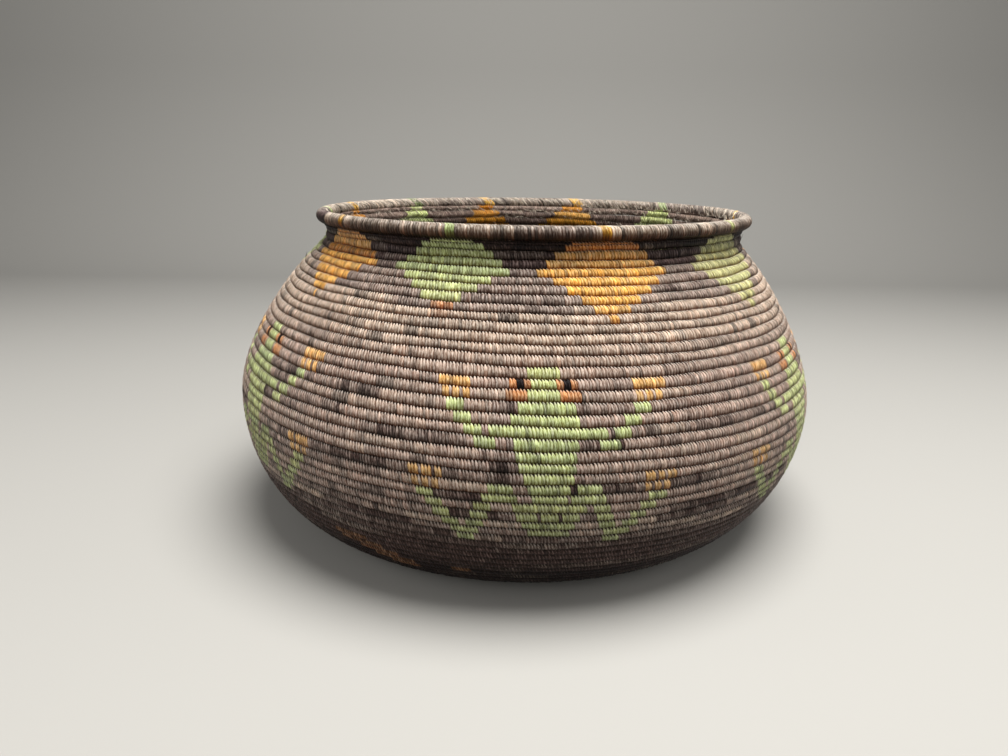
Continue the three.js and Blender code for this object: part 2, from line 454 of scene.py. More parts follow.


# The plain dyes by row, below the dark band and in it, and how much paler the rows at the mouth are at
# the back, which is painted light where the lamp reaches past the rim. Towards the foot the rows turn
# umber and black, and
# at the neck black: partly dye and partly painted shade.
LIGHT_ROWS = (
    (9.5, "beige"), (14, "taupe"), (25.5, "taupe"), (30.5, "umber"),
    (33, "umber"), (36, "black"), (47, "black"), (52, "umber"),
)
DARK_ROWS = ((0, "black"), (2, "plum"), (4, "slate"))
PAINTED_BACK_LIGHT_ROWS = ((-2, 0, 2, 3.5), (0.85, 0.8, 0.5, 0))


def ground_dyes(dyes, row, dark, back):
    """Colours of the plain stitches, by their row, darker towards the foot partly as painted shade. The
    rows at the mouth are darkest in front, in the rim's shade, and painted lighter at the back, where
    the lamp reaches them.
    """
    light = graded(row, [(at, getattr(dyes, name)) for at, name in LIGHT_ROWS])
    deep = graded(row, [(at, getattr(dyes, name)) for at, name in DARK_ROWS])
    colours = np.where(dark[:, None], deep, light)
    # Painted light: the rows at the mouth are blended to slate at the back and the sides, but not in
    # front.
    mouth = np.interp(row, *PAINTED_BACK_LIGHT_ROWS)
    return blend(colours, dyes.slate, mouth * np.clip(0.5 + 2 * back, 0, 1))


def runs_of(count, least, most, rng):
    """For each stitch the number of the strip that it is sewn with."""
    lengths = rng.integers(least, most, count // least + 2)
    return np.repeat(np.arange(len(lengths)), lengths)[:count]


def tones_of(count, least, most, rng):
    """How strips of uneven length took the dye."""
    strip = runs_of(count, least, most, rng)
    return rng.normal(0, 1, strip[-1] + 1)[strip]


def patches_of(count, chance, most, rng):
    """Marks short groups of neighbouring stitches."""
    starts = rng.random(count) < chance
    reach = rng.integers(0, most, count)
    marked = starts.copy()
    for step in range(1, most):
        marked[step:] |= (starts & (reach >= step))[:-step]
    return marked


# Stitches with one tone in the long runs and in the short runs, how far the tones of the long runs
# go, and how much the short runs count beside them.
LONG_RUNS, SHORT_RUNS = (8, 50), (1, 6)
LONG_TONES = (-1.4, 1.7)
SHORT_SHARE = 0.35
# How uneven the rows are: the belly's most.
UNEVEN_ROWS = ((7, 14, 21, 28, 32), (0.9, 1.1, 2.2, 2.4, 0.25))
# How far a tone moves the plain strips and the strips of the dark band to beige and to umber.
TO_BEIGE, DARK_TO_BEIGE = 0.24, 0.15
TO_UMBER, DARK_TO_UMBER = 0.31, 0.3
# Dark patches: their chance, at most how many stitches, and how dark.
PATCH_CHANCE, PATCH_MOST, PATCH_DEPTH = 0.009, 6, 0.62


def faded(colours, dyes, row, dark, rng):
    """Strips that took the dye unevenly, and short dark patches."""
    count = len(row)
    long_runs = np.clip(tones_of(count, *LONG_RUNS, rng), *LONG_TONES)
    short_runs = tones_of(count, *SHORT_RUNS, rng)
    tone = long_runs + SHORT_SHARE * short_runs
    uneven = np.interp(row, *UNEVEN_ROWS)
    paler = np.where(dark, DARK_TO_BEIGE, TO_BEIGE * uneven) * (tone - 0.3)
    deeper = np.where(dark, DARK_TO_UMBER, TO_UMBER * uneven) * (-tone - 0.1)
    colours = blend(blend(colours, dyes.beige, paler), dyes.umber, deeper)
    patch = patches_of(count, PATCH_CHANCE, PATCH_MOST, rng) & ~dark
    return blend(colours, dyes.black, np.where(patch, PATCH_DEPTH, 0))


# How much deeper ochre is at the mouth, by row, partly a deeper dye and partly painted shade under the
# rim, and the rows over which the figures get browner.
OCHRE_DEPTH_AND_SHADE = ((0, 1.5, 3), (0.9, 0.5, 0))
BROWN_FROM, BROWN_OVER, BROWN = 20, 8, 0.25


def figure_dye(dyes, name, row, rng):
    """Each round of a figure is sewn with a strip of its own, so the rounds differ a little. Ochre
    is deepest at the mouth, partly deeper dye and partly painted shade under the rim, and every figure
    is browner towards the foot."""
    tone = rng.normal(0, 1, int(row.max() - row.min()) + 1)[(row - row.min()).astype(int)]
    colours = np.tile(getattr(dyes, name), (len(row), 1))
    if name in ("green", "olive"):
        colours = blend(colours, dyes.olive, 0.16 * tone)
        colours = blend(colours, dyes.sage, -0.2 * tone)
    if name == "ochre":
        colours = blend(colours, dyes.amber, 0.2 * tone + np.interp(row, *OCHRE_DEPTH_AND_SHADE))
        colours = blend(colours, dyes.beige, -0.08 * tone)
    return blend(colours, dyes.umber, BROWN * np.clip((row - BROWN_FROM) / BROWN_OVER, 0, 1))


def dyes_of(settings, turns, rng):
    """Colours of the wall's stitches, in the order in which they are sewn."""
    dyes = settings.dyes
    row = row_of(turns)
    below = settings.coil.base_rounds + settings.coil.wall_rounds - turns
    turn = azimuth_at(turns)
    azimuth = np.degrees(turn)
    dark = is_dark(row, azimuth)
    colours = faded(ground_dyes(dyes, row, dark, np.sin(turn)), dyes, row, dark, rng)

    for middle, half, rise, foot, name, last_row in DIAMONDS:
        wide = diamond_half_width(below, half, rise, foot)
        inside = (np.abs(around(azimuth, middle)) < wide) & (row <= last_row)
        colours[inside] = figure_dye(dyes, name, row, rng)[inside]
    mended = np.abs(around(azimuth, MEND["azimuth"])) < MEND["half"]
    brown = blend(np.tile(dyes.orange, (len(turns), 1)), dyes.plum, np.full(len(turns), MEND_PLUM))
    for row_below, amount in ((0, 1.0), (1, 0.4)):
        here = mended & (row == MEND["row"] + row_below)
        colours[here] = blend(colours, brown, np.full(len(turns), amount))[here]
    for middle in FROGS:
        across = around(azimuth, middle)
        near = row_near(turns, middle)
        for name, mask in frog_marks(across, near - FROG_HEAD_ROW):
            inside = mask & (np.abs(across) < FROG_REACH)
            sewn = figure_dye(dyes, name, near, rng) * FROG_LIGHT
            if name == "ochre":
                sewn = blend(sewn, dyes.beige, np.full(len(sewn), HAND_FADE))
            colours[inside] = sewn[inside]
    for middle, half, row_below in WORN:
        inside = (np.abs(around(azimuth, middle)) < half) & (row == row_below)
        colours[inside] = np.array(dyes.rust) * rng.uniform(0.5, 1.5, (inside.sum(), 1))

    return colours * stitch_light(len(turns), rng)


# How much the strips differ in lightness and within what limits, and the share of dark ones.
LIGHT_SPREAD, LIGHT_LIMITS = 0.2, (0.45, 1.6)
DARK_SHARE, DARK_LIGHT = 0.04, 0.6


def stitch_light(count, rng):
    """How light each strip is, beside its neighbours."""
    light = rng.lognormal(0, LIGHT_SPREAD, count)
    light[rng.random(count) < DARK_SHARE] *= DARK_LIGHT
    return np.clip(light, *LIGHT_LIMITS)[:, None]


# Meshes

def mesh_object(name, points, faces=(), smooth=True):
    """A new object in the scene, made of points and faces."""
    mesh = bpy.data.meshes.new(name)
    mesh.from_pydata(points, [], faces)
    if smooth and len(mesh.polygons):
        mesh.polygons.foreach_set("use_smooth", [True] * len(mesh.polygons))
    mesh.update()
    made = bpy.data.objects.new(name, mesh)
    bpy.context.scene.collection.objects.link(made)
    return made


def set_attribute(mesh, name, kind, values):
    """Gives each point of a mesh a value."""
    made = mesh.attributes.new(name, kind, "POINT")
    field = {"FLOAT": "value", "FLOAT_VECTOR": "vector", "FLOAT_COLOR": "color"}[kind]
    made.data.foreach_set(field, np.ascontiguousarray(values, np.float32).ravel())


# Degrees at which the strips have their cross lines: closest where a stitch is drawn out to its tip.
STITCH_TURNS = np.array((0, 30, 60, 88, 108, 124, 140, 156, 180, 206, 240, 280, 320, 360))
WRAP_TURNS = np.arange(15) * 360 / 14
# How far a strip's edges lie under the coil's own surface, by the rise of its middle.
EDGE_DROP = 0.6
# Of the way from the middle of a round up to its top: where a stitch starts to get narrower, and
# over how much of the way it does.
TIP_FROM, TIP_REACH = 0.4, 0.55
# How far the strips lean back, by degrees of their turn: times the hook for a stitch, and times the
# drift for a wrap of the rim.
STITCH_LEAN = ((96, 156, 280, 360), (0, 1, 3.8, 0))
WRAP_LEAN = ((150, 300, 360), (0, 1, 0))


def winding_mesh(name, turns, outline, crown, cover):
    """One turn of a strip that winds round a coil of unit size, from the bottom up the outside
    and back down the inside. X runs along the coil, -Y out of the basket and Z up the wall. The
    middle of the strip stands over its edges, and its end meets the next strip's start. The
    outline holds the strip's width, its drift along the coil and the coil's exponent."""
    cos, sin = np.cos(np.radians(turns)), np.sin(np.radians(turns))
    wide, drift, exponent = outline
    rise = -np.sign(cos) * np.abs(cos) ** (2 / exponent) / 2
    out = np.sign(sin) * np.abs(sin) ** (2 / exponent) / 2
    points = []
    for turn, z, y, w, x in zip(turns, rise, out, wide, drift):
        wound = (0.5 - turn / 360) / cover - x
        for across in (-1, 0, 1):
            swell = 1 + 2 * crown * (1 if across == 0 else -EDGE_DROP)
            points.append((wound + across * w / 2, -y * swell, z * swell))
    faces = []
    for i in range(len(turns) - 1):
        for k in range(2):
            faces.append((3 * i + k + 1, 3 * i + k + 4, 3 * i + k + 3, 3 * i + k))
    made = mesh_object(name, points, faces)
    layer = made.data.uv_layers.new(name=STRAND_MAP)
    for loop in made.data.loops:
        ring, across = divmod(loop.vertex_index, 3)
        layer.data[loop.index].uv = (across / 2, turns[ring] / 360)
    made.hide_render = True
    return made


def stitch_mesh(name, stitches):
    """A stitch: wide on the face of its round, and drawn out to a hooked tip over the top. It
    leans back on the inside too."""
    upper = between(STITCH_TURNS, 90, 270)
    exponent = np.where(upper, stitches.fullness, 2.0)
    height = np.abs(np.cos(np.radians(STITCH_TURNS))) ** (2 / exponent)
    tip = np.clip((height * upper - TIP_FROM) / TIP_REACH, 0, 1)
    drift = stitches.hook * np.interp(STITCH_TURNS, *STITCH_LEAN)
    outline = (1 - stitches.pinch * tip, drift, exponent)
    return winding_mesh(name, STITCH_TURNS, outline, stitches.crown, stitches.cover)


def wrap_mesh(name, stitches):
    """A wrap of the rim: round, of even width, and drawn back on the inside."""
    even = np.ones(len(WRAP_TURNS))
    drift = stitches.rim_drift * np.interp(WRAP_TURNS, *WRAP_LEAN)
    return winding_mesh(name, WRAP_TURNS, (even, drift, 2 * even), stitches.rim_crown,
                        stitches.cover)


def tube_faces(rings, sides):
    """Faces of a closed tube whose points are listed ring by ring."""
    faces = [tuple(range(sides))[::-1], tuple((rings - 1) * sides + j for j in range(sides))]
    for i in range(rings - 1):
        for j in range(sides):
            a, b = i * sides + j, i * sides + (j + 1) % sides
            faces.append((a, b, b + sides, a + sides))
    return faces


def fibre_mesh(name, sides=3, rings=5):
    """A loose end of unit length and width, drawn out to a point."""
    points = []
    for i in range(rings):
        way = i / (rings - 1)
        reach = 0.5 * (1 - way) + 0.06
        for j in range(sides):
            turn = 2 * math.pi * j / sides
            points.append((reach * math.cos(turn), reach * math.sin(turn), way))
    made = mesh_object(name, points, tube_faces(rings, sides))
    layer = made.data.uv_layers.new(name=STRAND_MAP)
    for polygon in made.data.polygons:
        for corner, loop in enumerate(polygon.loop_indices):
            vertex = made.data.loops[loop].vertex_index
            layer.data[loop].uv = (0.3 + 0.4 * (corner in (1, 2)), vertex // sides / rings)
    made.hide_render = True
    return made


# Node trees

class Signal:
    """A socket that can be used in a sum, with numbers on either side."""

    def __init__(self, graph, socket):
        self.graph, self.socket = graph, socket

    def __add__(self, other):
        return self.graph.sum("ADD", self, other)

    def __sub__(self, other):
        return self.graph.sum("SUBTRACT", self, other)

    def __rsub__(self, other):
        return self.graph.sum("SUBTRACT", other, self)

    def __mul__(self, other):
        return self.graph.sum("MULTIPLY", self, other)

    def __pow__(self, other):
        return self.graph.sum("POWER", self, other)

    def __abs__(self):
        return self.graph.sum("ABSOLUTE", self)

    __radd__ = __add__
    __rmul__ = __mul__


class Graph:
    """Adds nodes to a shader tree or a geometry tree."""

    def __init__(self, tree):
        self.tree = tree
        tree.nodes.clear()

    def node(self, kind, settings=None, sockets=None):
        """One node. Settings are set first, then the values or links of its sockets."""
        made = self.tree.nodes.new(kind)
        for name, value in (settings or {}).items():
            setattr(made, name, value)
        for name, value in (sockets or {}).items():
            socket = self._find(made.inputs, name)
            if isinstance(value, Signal):
                self.tree.links.new(value.socket, socket)
            else:
                socket.default_value = value
        return made

    def _find(self, sockets, name):
        if isinstance(name, int):
            return sockets[name]
        return next(s for s in sockets if s.name == name and s.enabled)

    def out(self, made, name=0):
        """An output of a node, by name or number."""
        return Signal(self, self._find(made.outputs, name))

    def get(self, kind, settings=None, sockets=None, out=0):
        """An output of a new node."""
        return self.out(self.node(kind, settings, sockets), out)

    def sum(self, operation, *values):
        """Adds up its values, or does another sum with them."""
        return self.get("ShaderNodeMath", {"operation": operation}, dict(enumerate(values)))

    def mix(self, factor, first, second, how="MIX"):
        """A mix of two colours."""
        made = self.node("ShaderNodeMix", {"data_type": "RGBA", "blend_type": how})
        for name, value in (("Factor", factor), ("A", first), ("B", second)):
            socket = self._find(made.inputs, name)
            if isinstance(value, Signal):
                self.tree.links.new(value.socket, socket)
            elif name == "Factor":
                socket.default_value = value
            else:
                socket.default_value = (*value, 1.0)
        return self.out(made, "Result")

    def grey(self, value):
        """A colour that is as light as a value is large."""
        return self.get("ShaderNodeCombineXYZ", None, {"X": value, "Y": value, "Z": value})

    def noise(self, place, scale, detail):
        """Cloudy values, mostly near 0.5."""
        return self.get("ShaderNodeTexNoise", None,
                        {"Vector": place, "Scale": scale, "Detail": detail, "Roughness": 0.6})

    def step(self, value, low, high):
        """Climbs smoothly from 0 to 1 between two values."""
        return self.get("ShaderNodeMapRange", {"interpolation_type": "SMOOTHSTEP"},
                        {"Value": value, "From Min": low, "From Max": high}, "Result")


def sewing_tree():
    """Sets a strip on every point. The points carry which way is up the wall, which way the coil
    runs, and the strip's size."""
    tree = bpy.data.node_groups.new("Sewing", "GeometryNodeTree")
    tree.is_modifier = True
    for name, kind in (
        ("Places", "NodeSocketGeometry"),
        ("Strip", "NodeSocketObject"),
        ("Lean Spread", "NodeSocketFloat"),
        ("Size Spread", "NodeSocketFloat"),
        ("Seed", "NodeSocketInt"),
        ("Fibre", "NodeSocketMaterial"),
    ):
        tree.interface.new_socket(name, in_out="INPUT", socket_type=kind)
    tree.interface.new_socket("Stitches", in_out="OUTPUT", socket_type="NodeSocketGeometry")
    graph = Graph(tree)
    given = graph.node("NodeGroupInput")

    def attribute(name, kind="FLOAT_VECTOR"):
        return graph.get("GeometryNodeInputNamedAttribute", {"data_type": kind}, {"Name": name},
                         "Attribute")

    turned = graph.get(
        "FunctionNodeAxesToRotation", {"primary_axis": "Z", "secondary_axis": "X"},
        {"Primary Axis": attribute("up"), "Secondary Axis": attribute("ahead")}, "Rotation")
    spread = graph.out(given, "Lean Spread")
    chance = graph.get(
        "FunctionNodeRandomValue", {"data_type": "FLOAT"},
        {"Min": -1.0, "Max": 1.0, "Seed": graph.out(given, "Seed")}, "Value")
    tilt = graph.get("ShaderNodeCombineXYZ", None, {"Y": chance * spread})
    tilted = graph.get(
        "FunctionNodeRotateRotation", {"rotation_space": "LOCAL"},
        {"Rotation": turned,
         "Rotate By": graph.get("FunctionNodeEulerToRotation", None, {"Euler": tilt})})
    sizes = graph.get(
        "FunctionNodeRandomValue", {"data_type": "FLOAT_VECTOR"},
        {"Min": (-1.0, -1.0, -1.0), "Max": (1.0, 1.0, 1.0),
         "Seed": graph.out(given, "Seed") + 1}, "Value")
    uneven = graph.get(
        "ShaderNodeVectorMath", {"operation": "MULTIPLY_ADD"},
        {0: sizes, 1: graph.out(given, "Size Spread"), 2: (1.0, 1.0, 1.0)})
    size = graph.get("ShaderNodeVectorMath", {"operation": "MULTIPLY"},
                     {0: uneven, 1: attribute("size")})
    strip = graph.get("GeometryNodeObjectInfo", None, {"Object": graph.out(given, "Strip")},
                      "Geometry")
    placed = graph.get(
        "GeometryNodeInstanceOnPoints", None,
        {"Points": graph.out(given, "Places"), "Instance": strip, "Rotation": tilted, "Scale": size})
    real = graph.get("GeometryNodeRealizeInstances", None, {"Geometry": placed})
    done = graph.get("GeometryNodeSetMaterial", None,
                     {"Geometry": real, "Material": graph.out(given, "Fibre")})
    graph.node("NodeGroupOutput", None, {0: done})
    return tree


def sew(name, places, strip, spreads, seed, material):
    """A piece made of one strip on each place."""
    points = places["centre"]
    piece = mesh_object(name, points, smooth=False)
    for key, kind in (("up", "FLOAT_VECTOR"), ("ahead", "FLOAT_VECTOR"), ("size", "FLOAT_VECTOR"),
                      ("tone", "FLOAT")):
        set_attribute(piece.data, key, kind, places[key])
    tint = np.concatenate([places["dye"], np.ones((len(points), 1))], 1)
    set_attribute(piece.data, "dye", "FLOAT_COLOR", tint)
    tree = bpy.data.node_groups.get("Sewing") or sewing_tree()
    sewing = piece.modifiers.new("Sewing", "NODES")
    sewing.node_group = tree
    values = {
        "Strip": strip, "Lean Spread": spreads[0], "Size Spread": spreads[1], "Seed": seed,
        "Fibre": material,
    }
    for item in tree.interface.items_tree:
        if item.in_out == "INPUT" and item.name in values:
            sewing[item.identifier] = values[item.name]
    return settled(piece)


def settled(piece):
    """Turns a piece's modifiers into plain mesh."""
    depsgraph = bpy.context.evaluated_depsgraph_get()
    mesh = bpy.data.meshes.new_from_object(
        piece.evaluated_get(depsgraph), preserve_all_data_layers=True, depsgraph=depsgraph)
    piece.modifiers.clear()
    press_flat(mesh)
    piece.data = mesh
    mesh.name = piece.name
    for name in ("up", "ahead", "size"):
        if name in mesh.attributes:
            mesh.attributes.remove(mesh.attributes[name])
    return piece


def press_flat(mesh):
    """Presses whatever would reach through the floor into a thin layer over it."""
    points = np.empty(len(mesh.vertices) * 3, np.float32)
    mesh.vertices.foreach_get("co", points)
    height = points[2::3]
    low = height < FLAT_LAYER
    height[low] = FLAT_LAYER * np.exp((height[low] - FLAT_LAYER) / FLAT_LAYER)
    mesh.vertices.foreach_set("co", points)
    mesh.update()


# The part of a cell that stays empty at each side of its strip, across it and along it.
CELL_MARGIN = (0.12, 0.02)


def lay_out_strips(piece, count, slender=7):
    """Gives each strip a cell of its own in the map that colours are baked through."""
    mesh = piece.data
    corners = len(mesh.loops) // count
    local = np.empty(len(mesh.loops) * 2, np.float32)
    mesh.uv_layers[STRAND_MAP].data.foreach_get("uv", local)
    local = local.reshape(-1, 2)
    wide = math.ceil(math.sqrt(count * slender))
    tall = math.ceil(count / wide)
    cell = np.arange(len(mesh.loops)) // corners
    inset = np.array(CELL_MARGIN)
    spread = inset + local * (1 - 2 * inset)
    placed = (np.stack([cell % wide, cell // wide], 1) + spread) / (wide, tall)
    layer = mesh.uv_layers.new(name=BAKE_MAP)
    layer.data.foreach_set("uv", placed.astype(np.float32).ravel())


# Materials

# How fine the patterns are, in features to the metre.
SOIL_SCALE = 14.0
WEAR_SCALE = 160.0
GRASS_SCALE = 900.0
# Streaks of a strip: how fine they are across it and along it, and how far the strips' own places
# in the noise are spread.
STREAKS = (4, 9)
STREAK_SPREAD = (91, 37, 13)
FIBRE_DEPTH = 0.3 * MM
# What the dye is multiplied by in painted shade, and the colour of a strip that is worn bare and
# painted with a highlight.
PAINTED_SHADE_TINT = (1.0, 0.56, 0.42)
BARE_AND_HIGHLIGHT_TINT = (0.82, 0.74, 0.64)
# Painted light on a strip: painted shade at its edges, painted light added at its middle, and the most
# along it.
EDGE_PAINTED_LIGHT, RIDGE_PAINTED_LIGHT, TOP_PAINTED_LIGHT = 0.42, 0.65, 1.06
# Where along a stitch its tip is worn bare and painted with a highlight: from where to where that
# grows, and fades again.
TIP_WEAR_AND_HIGHLIGHT_GROWS, TIP_WEAR_AND_HIGHLIGHT_FADES = (0.3, 0.42), (0.48, 0.56)
SHEEN = 0.15


def fibre_material(name, worn_and_highlit, foot, tip=0.0, shine=0.35, streaks=0.9):
    """Dyed palm strip: its own dye, fine fibres along it, painted shade at its edges and a dull shine.
    The dye is deeper and browner where it is darker, as painted warm shade. Worn and highlit holds the
    stretch along the strip that is paler, partly worn and partly a painted highlight, and how much.
    Foot holds where the painted shade of the round below ends, and how light it is. Tip says how much
    of the dye is worn off over the top of the round, which is partly wear and partly a painted
    highlight."""
    material = bpy.data.materials.new(name)
    material.use_nodes = True
    graph = Graph(material.node_tree)
    dye = graph.get("ShaderNodeAttribute", {"attribute_name": "dye"}, None, "Color")
    tone = graph.get("ShaderNodeAttribute", {"attribute_name": "tone"}, None, "Fac")
    strand = graph.get("ShaderNodeUVMap", {"uv_map": STRAND_MAP})
    parts = graph.node("ShaderNodeSeparateXYZ", None, {"Vector": strand})
    across = graph.out(parts, "X")
    along = graph.out(parts, "Y")
    body = graph.get("ShaderNodeTexCoord", None, None, "Object")
    place = graph.get(
        "ShaderNodeCombineXYZ", None,
        {"X": across * STREAKS[0] + tone * STREAK_SPREAD[0],
         "Y": along * STREAKS[1] + tone * STREAK_SPREAD[1],
         "Z": tone * STREAK_SPREAD[2]})
    fibres = graph.step(graph.noise(place, 1.0, 2.0), 0.3, 0.7)
    soil = graph.noise(body, SOIL_SCALE, 3.0)
    wear = graph.noise(body, WEAR_SCALE, 2.0)

    ridge = 1 - abs(across * 2 - 1)
    # Painted shade at the strip's edges, where its neighbours shade it, and painted light along its
    # middle.
    edge = EDGE_PAINTED_LIGHT + RIDGE_PAINTED_LIGHT * ridge ** 0.5
    # Painted shade over the lower part of each strip, which faces down, rising to painted light at its
    # top.
    foot_shade_end, foot_shade_light = foot
    painted_foot_shade = foot_shade_light + (TOP_PAINTED_LIGHT - foot_shade_light) * graph.step(along, foot_shade_end * 0.15, foot_shade_end)
    # The shade holds the painted shade of the edges and the foot, with the fibres' streaks and the
    # soil's patches of dirt.
    shade = edge * painted_foot_shade * (1 - streaks * 0.5 + streaks * fibres) * (0.88 + 0.24 * soil)
    # Painted warm shade: where the strip is darker, its dye gets deeper and browner.
    deep = graph.get("ShaderNodeGamma", None, {"Color": dye, "Gamma": 1 + 0.6 * (1 - shade)})
    brown = graph.mix(graph.step(shade, 0.05, 0.85), PAINTED_SHADE_TINT, (1.0, 1.0, 1.0))
    dyed = graph.mix(1.0, deep, graph.mix(1.0, brown, graph.grey(shade), "MULTIPLY"), "MULTIPLY")
    # A paler stretch along the strip, partly wear and partly a painted highlight on its outer face.
    worn_and_highlit_from, worn_and_highlit_to, amount = worn_and_highlit
    reach = (worn_and_highlit_to - worn_and_highlit_from) * 0.3
    inside = graph.step(along, worn_and_highlit_from, worn_and_highlit_from + reach)
    inside = inside * (1 - graph.step(along, worn_and_highlit_to - reach, worn_and_highlit_to))
    # Pale tips: partly dye worn off, and partly a painted highlight where the tips face up to the lamp.
    tip_wear_and_highlight = graph.step(along, *TIP_WEAR_AND_HIGHLIGHT_GROWS) * (1 - graph.step(along, *TIP_WEAR_AND_HIGHLIGHT_FADES))
    # Where the strip is paler, along the stretch and at the tips: partly worn bare and partly painted
    # highlight.
    bare = fibres * (amount * wear * ridge * inside + tip * tip_wear_and_highlight) * graph.step(dye, 0.0, 0.2)
    pale = graph.mix(bare, dyed, graph.mix(0.6, dye, BARE_AND_HIGHLIGHT_TINT))
    bump = graph.get(
        "ShaderNodeBump", None,
        {"Strength": 0.6, "Distance": FIBRE_DEPTH, "Height": fibres + 0.3 * ridge}, "Normal")
    shader = graph.node(
        "ShaderNodeBsdfPrincipled", None,
        {"Base Color": pale, "Roughness": shine + 0.25 * wear, "Specular IOR Level": SHEEN,
         "Normal": bump})
    graph.node("ShaderNodeOutputMaterial", None, {"Surface": graph.out(shader)})
    return material


def bundle_material(shaded_straw):
    """Grass of the bundle inside the coil, dark brown as painted shade of the stitches over it."""
    material = bpy.data.materials.new("Bundle")
    material.use_nodes = True
    graph = Graph(material.node_tree)
    body = graph.get("ShaderNodeTexCoord", None, None, "Object")
    fibres = graph.noise(body, GRASS_SCALE, 2.0)
    tinted = graph.mix(1.0, shaded_straw, graph.grey(0.5 + fibres), "MULTIPLY")
    bump = graph.get("ShaderNodeBump", None,
                     {"Strength": 0.4, "Distance": FIBRE_DEPTH, "Height": fibres}, "Normal")
    shader = graph.node("ShaderNodeBsdfPrincipled", None,
                        {"Base Color": tinted, "Roughness": 0.75 + 0.2 * fibres, "Normal": bump})
    graph.node("ShaderNodeOutputMaterial", None, {"Surface": graph.out(shader)})
    return material


def floor_material(pale, bounce):
    """Pale to the camera and in reflections, but dark to other light, so that the floor doesn't
    light the basket's foot."""
    material = bpy.data.materials.new("Floor")
    material.use_nodes = True
    graph = Graph(material.node_tree)
    ray = graph.node("ShaderNodeLightPath")
    seen = graph.out(ray, "Is Camera Ray") + graph.out(ray, "Is Glossy Ray")
    seen = seen + graph.out(ray, "Is Transmission Ray")
    shader = graph.node("ShaderNodeBsdfPrincipled", None,
                        {"Base Color": graph.mix(seen, (bounce,) * 3, pale), "Roughness": 0.9})
    graph.node("ShaderNodeOutputMaterial", None, {"Surface": graph.out(shader)})
    return material


# Places of the stitches

def coil_places(wall, stitches, turns, low, high, width=0.0):
    """Where the strips sit that go round the coil between two edges, which are measured along the
    side view. A strip is never less tall than its round and its reach into the next ones."""
    bottom = low - stitches.bite * (high - low)
    top = high + stitches.overlap * (high - low)
    azimuth = azimuth_at(turns)
    thickness = wall.coil.thickness
    low_point = wall.point(bottom, thickness / 2, azimuth)
    high_point = wall.point(top, thickness / 2, azimuth)
    middle = (bottom + top) / 2
    out = unit(wall.point(middle, 0, azimuth) - wall.point(middle, thickness, azimuth))
    up = unit(high_point - low_point)
    tall = np.linalg.norm(high_point - low_point, axis=1)
    span = top - bottom
    size = np.stack([
        np.full(turns.shape, width * stitches.cover),
        np.full(turns.shape, thickness),
        np.maximum((tall + span) / 2, span),
    ], 1)
    return {
        "centre": (low_point + high_point) / 2,
        "up": up,
        "ahead": np.cross(up, out),
        "size": size,
    }


def stitched_turns(wall, first, last, width):
    """Turns at which the stitches sit, from one number of turns to another, a width apart."""
    found = []
    at = float(first)
    while at < last:
        radius = wall.side((wall.edge(at) + wall.edge(at + 1)) / 2)[0]
        found.append(at)
        at += width / (2 * math.pi * radius)
    return np.array(found)


def add_piece(piece, nodes):
    """Says what a finished piece stands for."""
    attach(piece, BODY)
    if nodes:
        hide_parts(*nodes)


def shared_strip(stitches):
    """The stitch that every piece but the rim is sewn with."""
    return bpy.data.objects.get("strip") or stitch_mesh("strip", stitches)


def shared_fibre():
    """The material of every stitch but the rim's wraps."""
    # Palm strips: painted shade over the lower part of each stitch, and a pale stretch on the outer
    # face and pale tips, which are partly wear and partly painted highlight.
    return bpy.data.materials.get("Palm strip") or fibre_material(
        "Palm strip", (0.1, 0.55, 1.3), (0.27, 0.1), 1.1)


# Operators

class AddFoundation(bpy.types.Operator):
    """Lay the bundle of grass that runs inside the coil"""
    bl_idname = "basket.add_foundation"
    bl_label = "Add foundation coil"

    # From one ring of points to the next, points in a ring, the bundle's size in its stitches, and
    # how much of the last round it leaves free.
    STEP = 9 * MM
    SIDES = 8
    FULLNESS = 0.78
    LEFT_FREE = 0.2

    def execute(self, context):
        settings = context.scene.basket
        wall = Wall(settings)
        turns = stitched_turns(wall, 0, wall.rounds - self.LEFT_FREE, self.STEP)
        places = coil_places(wall, settings.stitches, turns, wall.edge(turns), wall.edge(turns + 1))
        out = np.cross(places["ahead"], places["up"])
        half = places["size"][:, 1:] * self.FULLNESS / 2
        rings = []
        for i in range(self.SIDES):
            turn = 2 * math.pi * (i + 0.5) / self.SIDES
            rise = half[:, 1:] * math.cos(turn)
            reach = half[:, :1] * math.sin(turn)
            rings.append(places["centre"] + places["up"] * rise + out * reach)
        points = np.stack(rings, 1).reshape(-1, 3)
        piece = mesh_object("foundation_coil", points, tube_faces(len(turns), self.SIDES))
        press_flat(piece.data)
        piece.data.materials.append(bundle_material(settings.dyes.shaded_straw))
        add_piece(piece, [])
        return {"FINISHED"}


class AddKnot(bpy.types.Operator):
    """Wrap the knot that the coil starts round"""
    bl_idname = "basket.add_knot"
    bl_label = "Add start knot"

    WRAPS = 15

    def execute(self, context):
        settings = context.scene.basket
        wall = Wall(settings)
        rng = np.random.default_rng(settings.stitches.seed)
        count = self.WRAPS
        turns = np.arange(count) / count
        low = np.full(count, 0.1 * MM)
        high = wall.edge(turns)
        width = 2 * math.pi * settings.coil.knot_radius * 0.8 / count
        dye = np.array(settings.dyes.umber) * rng.normal(1, 0.1, (count, 1))
        places = coil_places(wall, settings.stitches, turns, low, high, width)
        places.update(tone=rng.random(count), dye=dye)
        piece = sew("start_knot_wraps", places, shared_strip(settings.stitches), (0.05, 0.02),
                    settings.stitches.seed, shared_fibre())
        lay_out_strips(piece, count)
        add_piece(piece, ["start_knot"])
        return {"FINISHED"}


